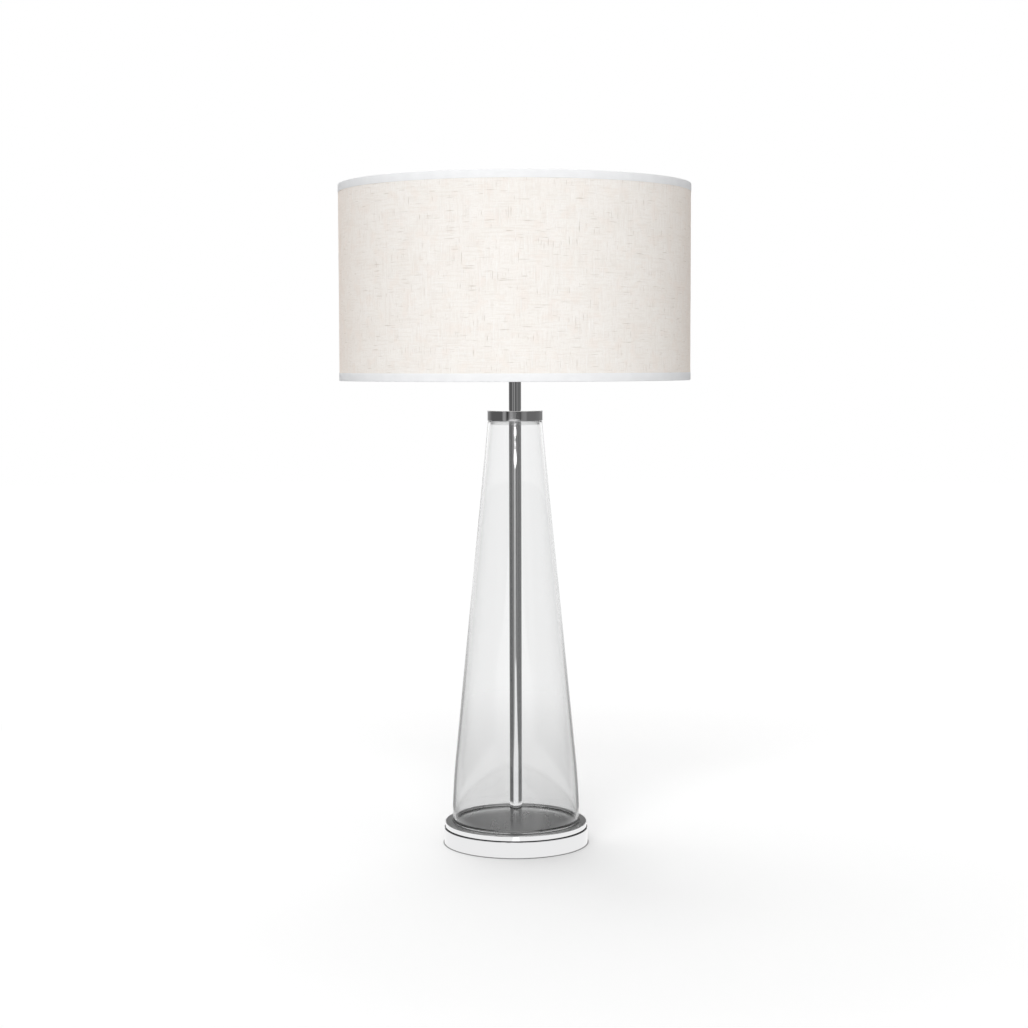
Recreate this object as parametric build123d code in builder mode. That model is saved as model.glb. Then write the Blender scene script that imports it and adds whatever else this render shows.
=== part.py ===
from build123d import *
import os
from math import radians, tan, hypot

os.makedirs("parts", exist_ok=True)

# A table lamp: a clear glass cone on a round chromed base, a chromed tube through its middle,
# a chromed cap and stem above it, and a drum shade carried by a wire spider on the lampholder.
# Millimetres, +Z up, the origin on the table under the middle of the base, +Y to the rear.

# ---------------------------------------------------------------- driving dimensions

# base
plinth_radius = 93.5
plinth_height = 20.0
plinth_wall = 1.5
plinth_edge_break = 0.6
pad_reveal = 0.8            # how far the felt stands out below the plinth's edge
pad_thickness = 2.0
weight_clearance = 0.3      # round the weight and the pad, inside the plinth
nut_recess_radius = 14.0
nut_recess_depth = 8.0
channel_width = 9.0
channel_depth = 10.5
spacer_inset = 3.5          # from the plinth's side in to the spacer's
spacer_thickness = 1.4      # shows as the dark groove between plinth and disc
disc_inset = 1.5            # from the plinth's side in to the disc's
disc_thickness = 6.4
disc_edge_round = 0.9
tube_seat_depth = 1.0

# cord inlet at the rear of the plinth
inlet_hole_radius = 5.0
inlet_bore_radius = 3.6
inlet_flange_radius = 6.5
inlet_flange_thickness = 1.5
inlet_height = 9.5
inlet_fit = 0.05

# glass cone
glass_foot_margin = 9.7     # from the disc's side in to the glass
glass_height = 520.1
glass_wall = 3.0
glass_knee_height = 85.0    # the foot curves from upright into the cone over this height
glass_flare = 5.66          # degrees between the cone's wall and the upright
glass_foot_round = 1.2
foot_gasket_thickness = 1.0
foot_gasket_recess = 0.5
foot_gasket_margin = 0.8
top_gasket_thickness = 1.0
top_gasket_lip = 4.0
top_gasket_lip_wall = 1.2
top_gasket_inset = 0.4

# metal column
tube_radius = 8.0
tube_wall = 1.75
rod_radius = 5.0
rod_bore_radius = 3.6
rod_clearance = 0.2         # between the rod and each plain hole it passes through
thread_fit = 0.1            # between the rod and what is screwed on it
nut_across_flats = 17.0
nut_thickness = 5.0
washer_radius = 10.5
washer_thickness = 1.0
rod_end_below_nut = 0.8
cap_overhang = 0.9
cap_height = 13.0
cap_top_wall = 3.0
cap_rim_width = 5.2
cap_boss_radius = 12.0
cap_edge_break = 0.4
cap_seat_depth = 1.0
stem_reach = 41.8           # stem length above the cap

# lampholder
neck_radius = 10.0
neck_height = 5.0
holder_radius = 22.0
holder_wall = 2.5
holder_shoulder = 3.0       # height of the cap's sloping shoulder
holder_floor = 1.5
holder_cap_height = 23.0
skirt_flange_radius = 24.0
skirt_flange_thickness = 3.0
skirt_radius = 20.0
skirt_bore_radius = 16.6
skirt_height = 36.0
skirt_ledge_radius = 12.0
insert_clearance = 0.3
insert_disc_thickness = 8.0
insert_body_height = 14.5
insert_flat_distance = 9.0
shell_bore_radius = 13.6
shell_wall = 0.6
shell_height = 24.0
shell_flange_reach = 4.5
contact_width = 6.0
contact_thickness = 0.5
contact_rise = 5.5
contact_length = 13.0
terminal_head_radius = 2.6
terminal_head_height = 1.8
terminal_shank_radius = 1.5
terminal_shank_length = 4.0
terminal_drop = 4.0         # below the skirt's ledge
grub_radius = 1.5
grub_fit = 0.05
grub_length = 4.4

# push bar of the switch
bar_radius = 3.0
bar_length = 64.0
bar_travel = 5.0
bar_running_fit = 0.08
bar_end_break = 0.8
bar_height = 16.0           # above the stem's top
bar_waist_radius = 2.2
bar_waist_length = 6.0

# retaining ring
ring_fit = 0.15
ring_flange_radius = 27.0
ring_flange_thickness = 2.4
ring_collar_radius = 24.6
ring_height = 9.0
ring_grip_count = 12
ring_grip_radius = 2.0

# drum shade
shade_radius = 225.0
shade_height = 248.0
tape_thickness = 0.4
tape_width = 10.0
tape_inner_width = 6.0
fabric_thickness = 0.5
liner_thickness = 0.8
seam_width = 12.0
wire_radius = 1.75
wire_clearance = 0.1
wire_facets = 8             # flats round the wire of the shade's two rings
tape_inner_gap = 0.3
arm_notch_width = 6.0
spider_count = 3
spider_recess = 29.3        # from the shade's lower edge up to the spider's plate
rear_angle = 90.0
spider_hole_clearance = 1.2
spider_plate_width = 10.0
spider_plate_thickness = 1.5
spider_lip_height = 2.5
spider_lip_wall = 1.2
arm_bend_radius = 12.0
arm_bend_inset = 15.0
weld_gap = 0.1
turn_gap = 0.3              # above and below the spider's plate, on the turning joint

# bulb
bulb_cap_radius = 13.2
bulb_cap_height = 20.8
bulb_tip_radius = 4.5
bulb_tip_height = 1.5
bulb_insulator_height = 2.7
bulb_insulator_radius = 11.5
bulb_globe_radius = 30.0
bulb_length = 108.0
bulb_globe_wall = 1.2
bulb_housing_wall = 1.5
bulb_housing_height = 43.0
bulb_neck_radius = 14.6
bulb_gap = 0.3              # between the bulb's tip and the centre contact

# ---------------------------------------------------------------- worked-out radii and heights

disc_radius = plinth_radius - disc_inset
spacer_radius = plinth_radius - spacer_inset
glass_foot_radius = disc_radius - glass_foot_margin

plinth_bottom = pad_reveal
plinth_top = plinth_bottom + plinth_height
disc_bottom = plinth_top + spacer_thickness
disc_top = disc_bottom + disc_thickness
glass_bottom = disc_top - foot_gasket_recess + foot_gasket_thickness
glass_top = glass_bottom + glass_height
cap_bottom = glass_top + top_gasket_thickness
cap_top = cap_bottom + cap_height
stem_top = cap_top + stem_reach
weight_bottom = pad_thickness
weight_top = plinth_top - plinth_wall
washer_top = weight_bottom + nut_recess_depth
nut_top = washer_top - washer_thickness
nut_bottom = nut_top - nut_thickness
rod_bottom = nut_bottom - rod_end_below_nut
holder_floor_top = stem_top + neck_height + holder_shoulder + holder_floor
rod_top = holder_floor_top

holder_cap_top = stem_top + holder_cap_height
flange_top = holder_cap_top + skirt_flange_thickness
spider_bottom = flange_top + turn_gap
spider_top = spider_bottom + spider_plate_thickness
insert_top = flange_top + insert_disc_thickness
contact_top = insert_top + contact_rise
bulb_bottom = contact_top + bulb_gap
bulb_cap_bottom = bulb_bottom + bulb_tip_height + bulb_insulator_height
bulb_cap_top = bulb_cap_bottom + bulb_cap_height
bulb_top = bulb_bottom + bulb_length
globe_centre = bulb_top - bulb_globe_radius
bar_centre = stem_top + bar_height

shade_bottom = spider_bottom - spider_recess
shade_top = shade_bottom + shade_height

# ---------------------------------------------------------------- base

plinth_bore = plinth_radius - plinth_wall
weight_radius = plinth_bore - weight_clearance

with BuildPart() as felt_pad:
    with BuildSketch(Plane.XY):
        Circle(weight_radius)
    extrude(amount=pad_thickness)
felt_pad.part.label = "felt_pad"
export_step(felt_pad.part, "parts/felt_pad.step")

# The plinth is a pressed cup, open below; the column's rod passes through its top.
with BuildPart() as base_plinth:
    with BuildSketch(Plane.XY.offset(plinth_bottom)):
        Circle(plinth_radius)
    extrude(amount=plinth_height)
    chamfer(base_plinth.edges().group_by(Axis.Z)[-1], plinth_edge_break)
    with BuildSketch(Plane.XY.offset(plinth_bottom)):
        Circle(plinth_bore)
    extrude(amount=plinth_height - plinth_wall, mode=Mode.SUBTRACT)
    with BuildSketch(Plane.XY.offset(plinth_top)):
        Circle(rod_radius + rod_clearance)
    extrude(amount=-plinth_wall, mode=Mode.SUBTRACT)
    with BuildSketch(Plane.XZ.offset(-plinth_radius)):
        with Locations((0, inlet_height)):
            Circle(inlet_hole_radius + inlet_fit)
    extrude(amount=2 * plinth_wall, mode=Mode.SUBTRACT)
base_plinth.part.label = "base_plinth"
export_step(base_plinth.part, "parts/base_plinth.step")

# The cast weight has a recess for the nut, a cord channel to the rear and a pocket for the inlet.
inlet_inner_face = (plinth_bore**2 - inlet_flange_radius**2) ** 0.5 - inlet_fit
inlet_inner_end = inlet_inner_face - inlet_flange_thickness
pocket_half = inlet_flange_radius + weight_clearance
with BuildPart() as base_weight:
    with BuildSketch(Plane.XY.offset(weight_bottom)):
        Circle(weight_radius)
    extrude(amount=weight_top - weight_bottom)
    with BuildSketch(Plane.XY.offset(weight_bottom)):
        Circle(nut_recess_radius)
    extrude(amount=nut_recess_depth, mode=Mode.SUBTRACT)
    with BuildSketch(Plane.XY.offset(weight_bottom)):
        Circle(rod_radius + rod_clearance)
    extrude(amount=weight_top - weight_bottom, mode=Mode.SUBTRACT)
    with BuildSketch(Plane.XY.offset(weight_bottom)):
        Rectangle(channel_width, plinth_radius, align=(Align.CENTER, Align.MIN))
    extrude(amount=channel_depth, mode=Mode.SUBTRACT)
    with BuildSketch(Plane.XZ.offset(-plinth_radius)):
        with Locations((0, inlet_height)):
            Rectangle(2 * pocket_half, 2 * pocket_half)
        with Locations((0, inlet_height - pocket_half)):
            Rectangle(2 * pocket_half, pocket_half, align=(Align.CENTER, Align.MAX))
    extrude(amount=plinth_radius - inlet_inner_end + weight_clearance, mode=Mode.SUBTRACT)
base_weight.part.label = "base_weight"
export_step(base_weight.part, "parts/base_weight.step")

# The inlet is a flanged bush, turned about an axis that points to the rear.
with BuildPart() as cord_inlet:
    with BuildSketch(Plane.YZ):
        with BuildLine():
            Polyline(
                (inlet_inner_end, inlet_height + inlet_bore_radius),
                (plinth_radius + inlet_flange_thickness, inlet_height + inlet_bore_radius),
                (plinth_radius + inlet_flange_thickness, inlet_height + inlet_flange_radius),
                (plinth_radius, inlet_height + inlet_flange_radius),
                (plinth_radius, inlet_height + inlet_hole_radius),
                (inlet_inner_face, inlet_height + inlet_hole_radius),
                (inlet_inner_face, inlet_height + inlet_flange_radius),
                (inlet_inner_end, inlet_height + inlet_flange_radius),
                close=True,
            )
        make_face()
    revolve(axis=Axis((0, 0, inlet_height), (0, 1, 0)))
cord_inlet.part.label = "cord_inlet"
export_step(cord_inlet.part, "parts/cord_inlet.step")

with BuildPart() as groove_spacer:
    with BuildSketch(Plane.XY.offset(plinth_top)):
        Circle(spacer_radius)
        Circle(rod_radius + rod_clearance, mode=Mode.SUBTRACT)
    extrude(amount=spacer_thickness)
groove_spacer.part.label = "groove_spacer"
export_step(groove_spacer.part, "parts/groove_spacer.step")

# The disc carries the glass in a shallow ring recess and the tube in a shallow seat.
gasket_outer = glass_foot_radius + foot_gasket_margin
gasket_inner = glass_foot_radius - glass_wall - foot_gasket_margin
with BuildPart() as base_disc:
    with BuildSketch(Plane.XY.offset(disc_bottom)):
        Circle(disc_radius)
    extrude(amount=disc_thickness)
    fillet(base_disc.edges().group_by(Axis.Z)[-1], disc_edge_round)
    with BuildSketch(Plane.XY.offset(disc_top)):
        Circle(gasket_outer)
        Circle(gasket_inner, mode=Mode.SUBTRACT)
    extrude(amount=-foot_gasket_recess, mode=Mode.SUBTRACT)
    with BuildSketch(Plane.XY.offset(disc_top)):
        Circle(tube_radius + rod_clearance)
    extrude(amount=-tube_seat_depth, mode=Mode.SUBTRACT)
    with BuildSketch(Plane.XY.offset(disc_bottom)):
        Circle(rod_radius + rod_clearance)
    extrude(amount=disc_thickness, mode=Mode.SUBTRACT)
base_disc.part.label = "base_disc"
export_step(base_disc.part, "parts/base_disc.step")

# ---------------------------------------------------------------- rod, nut and washer

with BuildPart() as threaded_rod:
    with BuildSketch(Plane.XY.offset(rod_bottom)):
        Circle(rod_radius)
        Circle(rod_bore_radius, mode=Mode.SUBTRACT)
    extrude(amount=rod_top - rod_bottom)
threaded_rod.part.label = "threaded_rod"
export_step(threaded_rod.part, "parts/threaded_rod.step")

with BuildPart() as base_washer:
    with BuildSketch(Plane.XY.offset(nut_top)):
        Circle(washer_radius)
        Circle(rod_radius + rod_clearance, mode=Mode.SUBTRACT)
    extrude(amount=washer_thickness)
base_washer.part.label = "base_washer"
export_step(base_washer.part, "parts/base_washer.step")

with BuildPart() as base_nut:
    with BuildSketch(Plane.XY.offset(nut_bottom)):
        RegularPolygon(nut_across_flats / 2, 6, major_radius=False)
        Circle(rod_radius + thread_fit, mode=Mode.SUBTRACT)
    extrude(amount=nut_thickness)
base_nut.part.label = "base_nut"
export_step(base_nut.part, "parts/base_nut.step")

# ---------------------------------------------------------------- glass cone and its gaskets

flare = radians(glass_flare)
knee_radius = glass_foot_radius - glass_knee_height * tan(flare / 2)
knee_z = glass_bottom + glass_knee_height
glass_top_radius = knee_radius - (glass_top - knee_z) * tan(flare)

with BuildPart() as foot_gasket:
    with BuildSketch(Plane.XY.offset(disc_top - foot_gasket_recess)):
        Circle(gasket_outer)
        Circle(gasket_inner, mode=Mode.SUBTRACT)
    extrude(amount=foot_gasket_thickness)
foot_gasket.part.label = "foot_gasket"
export_step(foot_gasket.part, "parts/foot_gasket.step")

# The wall is a straight cone that turns upright through an arc tangent to both at the foot.
with BuildPart() as glass_cone:
    with BuildSketch(Plane.XZ):
        with BuildLine():
            outer_foot = (glass_foot_radius, glass_bottom)
            inner_foot = (glass_foot_radius - glass_wall, glass_bottom)
            outer_knee = (knee_radius, knee_z)
            inner_knee = (knee_radius - glass_wall, knee_z)
            outer_rim = (glass_top_radius, glass_top)
            inner_rim = (glass_top_radius - glass_wall, glass_top)
            TangentArc(outer_foot, outer_knee, tangent=(0, 1))
            Polyline(outer_knee, outer_rim, inner_rim, inner_knee)
            TangentArc(inner_foot, inner_knee, tangent=(0, 1))
            Line(inner_foot, outer_foot)
        make_face()
    revolve(axis=Axis.Z)
    fillet(glass_cone.edges().group_by(Axis.Z)[0].sort_by(SortBy.LENGTH)[-1], glass_foot_round)
glass_cone.part.label = "glass_cone"
export_step(glass_cone.part, "parts/glass_cone.step")

# The clear top gasket lies on the rim and reaches a short way down inside the glass.
lip_outer = glass_top_radius - glass_wall - top_gasket_inset
with BuildPart() as top_gasket:
    with BuildSketch(Plane.XZ):
        with BuildLine():
            Polyline(
                (glass_top_radius - top_gasket_inset, glass_top),
                (glass_top_radius - top_gasket_inset, cap_bottom),
                (lip_outer - top_gasket_lip_wall, cap_bottom),
                (lip_outer - top_gasket_lip_wall, glass_top - top_gasket_lip),
                (lip_outer, glass_top - top_gasket_lip),
                (lip_outer, glass_top),
                close=True,
            )
        make_face()
    revolve(axis=Axis.Z)
top_gasket.part.label = "top_gasket"
export_step(top_gasket.part, "parts/top_gasket.step")

# ---------------------------------------------------------------- tube, cap and stem

tube_bore = tube_radius - tube_wall
with BuildPart() as centre_tube:
    with BuildSketch(Plane.XY.offset(disc_top - tube_seat_depth)):
        Circle(tube_radius)
        Circle(tube_bore, mode=Mode.SUBTRACT)
    extrude(amount=cap_bottom + cap_seat_depth - disc_top + tube_seat_depth)
centre_tube.part.label = "centre_tube"
export_step(centre_tube.part, "parts/centre_tube.step")

# The cap is turned: a rim that bears on the gasket, a relieved underside and a boss for the tube.
cap_radius = glass_top_radius + cap_overhang
with BuildPart() as glass_cap:
    with BuildSketch(Plane.XY.offset(cap_bottom)):
        Circle(cap_radius)
    extrude(amount=cap_height)
    chamfer(glass_cap.edges().filter_by(GeomType.CIRCLE), cap_edge_break)
    with BuildSketch(Plane.XY.offset(cap_bottom)):
        Circle(cap_radius - cap_rim_width)
        Circle(cap_boss_radius, mode=Mode.SUBTRACT)
    extrude(amount=cap_height - cap_top_wall, mode=Mode.SUBTRACT)
    with BuildSketch(Plane.XY.offset(cap_bottom)):
        Circle(tube_radius + rod_clearance)
    extrude(amount=cap_seat_depth, mode=Mode.SUBTRACT)
    with BuildSketch(Plane.XY.offset(cap_top)):
        Circle(tube_radius + rod_clearance)
    extrude(amount=-cap_seat_depth, mode=Mode.SUBTRACT)
    with BuildSketch(Plane.XY.offset(cap_bottom)):
        Circle(rod_radius + rod_clearance)
    extrude(amount=cap_height, mode=Mode.SUBTRACT)
glass_cap.part.label = "glass_cap"
export_step(glass_cap.part, "parts/glass_cap.step")

with BuildPart() as stem:
    with BuildSketch(Plane.XY.offset(cap_top - cap_seat_depth)):
        Circle(tube_radius)
        Circle(tube_bore, mode=Mode.SUBTRACT)
    extrude(amount=stem_reach + cap_seat_depth)
stem.part.label = "stem"
export_step(stem.part, "parts/stem.step")

# ---------------------------------------------------------------- lampholder

# The cap is a moulded cup on a threaded neck, cross-drilled for the push bar and the grub screw.
shoulder_bottom = stem_top + neck_height
shoulder_top = shoulder_bottom + holder_shoulder
holder_bore = holder_radius - holder_wall
grub_z = stem_top + neck_height / 2
with BuildPart() as holder_cap:
    with BuildSketch(Plane.XZ):
        with BuildLine():
            Polyline(
                (rod_radius + thread_fit, stem_top),
                (neck_radius, stem_top),
                (neck_radius, shoulder_bottom),
                (holder_radius, shoulder_top),
                (holder_radius, holder_cap_top),
                (holder_bore, holder_cap_top),
                (holder_bore, holder_floor_top),
                (rod_radius + thread_fit, holder_floor_top),
                close=True,
            )
        make_face()
    revolve(axis=Axis.Z)
    with BuildSketch(Plane.YZ.offset(-holder_radius)):
        with Locations((0, bar_centre)):
            Circle(bar_radius + bar_running_fit)
    extrude(amount=2 * holder_radius, mode=Mode.SUBTRACT)
    with BuildSketch(Plane.XZ.offset(-neck_radius)):
        with Locations((0, grub_z)):
            Circle(grub_radius + grub_fit)
    extrude(amount=neck_radius - rod_radius, mode=Mode.SUBTRACT)
holder_cap.part.label = "holder_cap"
export_step(holder_cap.part, "parts/holder_cap.step")

with BuildPart() as grub_screw:
    with BuildSketch(Plane.XZ.offset(-rod_radius)):
        with Locations((0, grub_z)):
            Circle(grub_radius)
    extrude(amount=-grub_length)
grub_screw.part.label = "grub_screw"
export_step(grub_screw.part, "parts/grub_screw.step")

# The skirt's flange carries the shade; its ledge carries the insulating insert.
skirt_top = holder_cap_top + skirt_height
with BuildPart() as holder_skirt:
    with BuildSketch(Plane.XZ):
        with BuildLine():
            Polyline(
                (skirt_ledge_radius, holder_cap_top),
                (skirt_flange_radius, holder_cap_top),
                (skirt_flange_radius, flange_top),
                (skirt_radius, flange_top),
                (skirt_radius, skirt_top),
                (skirt_bore_radius, skirt_top),
                (skirt_bore_radius, flange_top),
                (skirt_ledge_radius, flange_top),
                close=True,
            )
        make_face()
    revolve(axis=Axis.Z)
holder_skirt.part.label = "holder_skirt"
export_step(holder_skirt.part, "parts/holder_skirt.step")

# The insert hangs through the ledge, with two flats for the terminals and a bore for the bar.
insert_radius = skirt_bore_radius - insert_clearance
insert_body_radius = skirt_ledge_radius - insert_clearance
insert_bottom = flange_top - insert_body_height
terminal_z = flange_top - skirt_flange_thickness - terminal_drop
with BuildPart() as holder_insert:
    with BuildSketch(Plane.XY.offset(flange_top)):
        Circle(insert_radius)
    extrude(amount=insert_disc_thickness)
    with BuildSketch(Plane.XY.offset(insert_bottom)):
        Circle(insert_body_radius)
        Rectangle(2 * insert_body_radius, 2 * insert_flat_distance, mode=Mode.INTERSECT)
    extrude(amount=insert_body_height)
    with BuildSketch(Plane.YZ.offset(-insert_body_radius)):
        with Locations((0, bar_centre)):
            Circle(bar_radius + bar_running_fit)
    extrude(amount=2 * insert_body_radius, mode=Mode.SUBTRACT)
    for side in (-1, 1):
        with BuildSketch(Plane.XZ.offset(side * insert_flat_distance)):
            with Locations((0, terminal_z)):
                Circle(terminal_shank_radius)
        extrude(amount=-side * terminal_shank_length, mode=Mode.SUBTRACT)
holder_insert.part.label = "holder_insert"
export_step(holder_insert.part, "parts/holder_insert.step")

with BuildPart() as terminal_screws:
    for side in (-1, 1):
        with BuildSketch(Plane.XZ.offset(side * insert_flat_distance)):
            with Locations((0, terminal_z)):
                Circle(terminal_head_radius)
        extrude(amount=side * terminal_head_height)
        with BuildSketch(Plane.XZ.offset(side * insert_flat_distance)):
            with Locations((0, terminal_z)):
                Circle(terminal_shank_radius)
        extrude(amount=-side * terminal_shank_length)
terminal_screws.part.label = "terminal_screws"
export_step(terminal_screws.part, "parts/terminal_screws.step")

shell_outer = shell_bore_radius + shell_wall
with BuildPart() as thread_shell:
    with BuildSketch(Plane.XZ):
        with BuildLine():
            Polyline(
                (shell_outer, insert_top),
                (shell_outer, insert_top + shell_height),
                (shell_bore_radius, insert_top + shell_height),
                (shell_bore_radius, insert_top + shell_wall),
                (shell_bore_radius - shell_flange_reach, insert_top + shell_wall),
                (shell_bore_radius - shell_flange_reach, insert_top),
                close=True,
            )
        make_face()
    revolve(axis=Axis.Z)
thread_shell.part.label = "thread_shell"
export_step(thread_shell.part, "parts/thread_shell.step")

# The contact is a bent leaf: a flat foot, a slope and a flat tongue under the bulb's tip.
foot_end = -contact_length / 6
tongue_start = contact_length / 6
with BuildPart() as centre_contact:
    with BuildSketch(Plane.XZ.offset(-contact_width / 2)):
        with BuildLine():
            Polyline(
                (-contact_length / 2, insert_top),
                (foot_end, insert_top),
                (tongue_start, contact_top - contact_thickness),
                (contact_length / 2, contact_top - contact_thickness),
                (contact_length / 2, contact_top),
                (tongue_start - contact_thickness, contact_top),
                (foot_end - contact_thickness, insert_top + contact_thickness),
                (-contact_length / 2, insert_top + contact_thickness),
                close=True,
            )
        make_face()
    extrude(amount=contact_width)
centre_contact.part.label = "centre_contact"
export_step(centre_contact.part, "parts/centre_contact.step")

# The retaining ring has a flange over the spider's plate and finger scallops round its collar.
ring_bottom = spider_top + turn_gap
ring_bore = skirt_radius + ring_fit
with BuildPart() as retaining_ring:
    with BuildSketch(Plane.XY.offset(ring_bottom)):
        Circle(ring_flange_radius)
    extrude(amount=ring_flange_thickness)
    with BuildSketch(Plane.XY.offset(ring_bottom + ring_flange_thickness)):
        Circle(ring_collar_radius)
        with PolarLocations(ring_collar_radius + ring_grip_radius / 2, ring_grip_count):
            Circle(ring_grip_radius, mode=Mode.SUBTRACT)
    extrude(amount=ring_height - ring_flange_thickness)
    with BuildSketch(Plane.XY.offset(ring_bottom)):
        Circle(ring_bore)
    extrude(amount=ring_height, mode=Mode.SUBTRACT)
retaining_ring.part.label = "retaining_ring"
export_step(retaining_ring.part, "parts/retaining_ring.step")

# ---------------------------------------------------------------- push bar of the switch

# At rest the bar stands out further on the left; pushed, it stands out as far on the right.
bar_start = -(bar_length + bar_travel) / 2
with BuildPart() as push_bar:
    with BuildSketch(Plane.YZ.offset(bar_start)):
        with Locations((0, bar_centre)):
            Circle(bar_radius)
    extrude(amount=bar_length)
    chamfer(push_bar.edges().filter_by(GeomType.CIRCLE), bar_end_break)
    with BuildSketch(Plane.YZ.offset(-(bar_waist_length + bar_travel) / 2)):
        with Locations((0, bar_centre)):
            Circle(bar_radius)
            Circle(bar_waist_radius, mode=Mode.SUBTRACT)
    extrude(amount=bar_waist_length, mode=Mode.SUBTRACT)
push_bar.part.label = "push_bar"
export_step(push_bar.part, "parts/push_bar.step")

# ---------------------------------------------------------------- drum shade

fabric_outer = shade_radius - tape_thickness
fabric_inner = fabric_outer - fabric_thickness
liner_inner = fabric_inner - liner_thickness
panel_bottom = shade_bottom + tape_thickness
panel_top = shade_top - tape_thickness
wire_ring_radius = liner_inner - wire_clearance - wire_radius
tape_inner = wire_ring_radius - wire_radius - tape_inner_gap

# The fabric laps over itself in a narrow upright seam at the rear, between the two tapes.
with BuildPart() as shade_fabric:
    with BuildSketch(Plane.XY.offset(panel_bottom)):
        Circle(fabric_outer)
        Circle(fabric_inner, mode=Mode.SUBTRACT)
    extrude(amount=panel_top - panel_bottom)
    with BuildSketch(Plane.XY.offset(shade_bottom + tape_width)):
        Circle(shade_radius)
        Rectangle(seam_width, shade_radius, align=(Align.CENTER, Align.MIN), mode=Mode.INTERSECT)
        Circle(fabric_inner, mode=Mode.SUBTRACT)
    extrude(amount=shade_height - 2 * tape_width)
shade_fabric.part.label = "shade_fabric"
export_step(shade_fabric.part, "parts/shade_fabric.step")

with BuildPart() as shade_liner:
    with BuildSketch(Plane.XY.offset(panel_bottom)):
        Circle(fabric_inner)
        Circle(liner_inner, mode=Mode.SUBTRACT)
    extrude(amount=panel_top - panel_bottom)
shade_liner.part.label = "shade_liner"
export_step(shade_liner.part, "parts/shade_liner.step")

# Each tape folds over the shade's edge and round the wire; the lower one is snipped at the arms.
with BuildPart() as trim_bottom:
    with BuildSketch(Plane.XZ):
        with BuildLine():
            Polyline(
                (shade_radius, shade_bottom),
                (shade_radius, shade_bottom + tape_width),
                (fabric_outer, shade_bottom + tape_width),
                (fabric_outer, panel_bottom),
                (tape_inner, panel_bottom),
                (tape_inner, shade_bottom + tape_inner_width),
                (tape_inner - tape_thickness, shade_bottom + tape_inner_width),
                (tape_inner - tape_thickness, shade_bottom),
                close=True,
            )
        make_face()
    revolve(axis=Axis.Z)
    with BuildSketch(Plane.XY.offset(panel_bottom)):
        with PolarLocations(tape_inner, spider_count, start_angle=rear_angle):
            Rectangle(2 * wire_radius, arm_notch_width)
    extrude(amount=tape_inner_width, mode=Mode.SUBTRACT)
trim_bottom.part.label = "trim_bottom"
export_step(trim_bottom.part, "parts/trim_bottom.step")

with BuildPart() as trim_top:
    with BuildSketch(Plane.XZ):
        with BuildLine():
            Polyline(
                (shade_radius, shade_top),
                (shade_radius, shade_top - tape_width),
                (fabric_outer, shade_top - tape_width),
                (fabric_outer, panel_top),
                (tape_inner, panel_top),
                (tape_inner, shade_top - tape_inner_width),
                (tape_inner - tape_thickness, shade_top - tape_inner_width),
                (tape_inner - tape_thickness, shade_top),
                close=True,
            )
        make_face()
    revolve(axis=Axis.Z)
trim_top.part.label = "trim_top"
export_step(trim_top.part, "parts/trim_top.step")

lower_wire_z = panel_bottom + wire_clearance + wire_radius
upper_wire_z = panel_top - wire_clearance - wire_radius

with BuildPart() as wire_ring_bottom:
    with BuildSketch(Plane.XZ):
        with Locations((wire_ring_radius, lower_wire_z)):
            RegularPolygon(wire_radius, wire_facets)
    revolve(axis=Axis.Z)
wire_ring_bottom.part.label = "wire_ring_bottom"
export_step(wire_ring_bottom.part, "parts/wire_ring_bottom.step")

with BuildPart() as wire_ring_top:
    with BuildSketch(Plane.XZ):
        with Locations((wire_ring_radius, upper_wire_z)):
            RegularPolygon(wire_radius, wire_facets)
    revolve(axis=Axis.Z)
wire_ring_top.part.label = "wire_ring_top"
export_step(wire_ring_top.part, "parts/wire_ring_top.step")

# One arm of the spider: level from the plate's lip, then bent down to its weld on the lower ring.
plate_hole = skirt_radius + spider_hole_clearance
plate_radius = plate_hole + spider_plate_width
arm_z = (spider_bottom + spider_top) / 2
arm_start = plate_radius - spider_lip_wall
bend_r = wire_ring_radius - arm_bend_inset
slope_length = hypot(arm_bend_inset, arm_z - lower_wire_z)
weld_share = (wire_radius + weld_gap) / slope_length
arm_end_r = wire_ring_radius - arm_bend_inset * weld_share
arm_end_z = lower_wire_z + (arm_z - lower_wire_z) * weld_share
with BuildPart() as spider_arm:
    with BuildLine(Plane.XZ):
        FilletPolyline((arm_start, arm_z), (bend_r, arm_z), (arm_end_r, arm_end_z), radius=arm_bend_radius)
    with BuildSketch(Plane.YZ.offset(arm_start)):
        with Locations((0, arm_z)):
            Circle(wire_radius)
    sweep()

# The spider: a round plate with a turned-up lip, and the arms set evenly round it.
with BuildPart() as shade_spider:
    with BuildSketch(Plane.XZ):
        with BuildLine():
            Polyline(
                (plate_hole, spider_bottom),
                (plate_radius, spider_bottom),
                (plate_radius, spider_top + spider_lip_height),
                (plate_radius - spider_lip_wall, spider_top + spider_lip_height),
                (plate_radius - spider_lip_wall, spider_top),
                (plate_hole, spider_top),
                close=True,
            )
        make_face()
    revolve(axis=Axis.Z)
    with PolarLocations(0, spider_count, start_angle=rear_angle):
        add(spider_arm.part)
shade_spider.part.label = "shade_spider"
export_step(shade_spider.part, "parts/shade_spider.step")

# ---------------------------------------------------------------- bulb

with BuildPart() as bulb_contact:
    with BuildSketch(Plane.XY.offset(bulb_bottom)):
        Circle(bulb_tip_radius)
    extrude(amount=bulb_tip_height)
    chamfer(bulb_contact.edges().group_by(Axis.Z)[0], bulb_tip_height / 2)
bulb_contact.part.label = "bulb_contact"
export_step(bulb_contact.part, "parts/bulb_contact.step")

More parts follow.
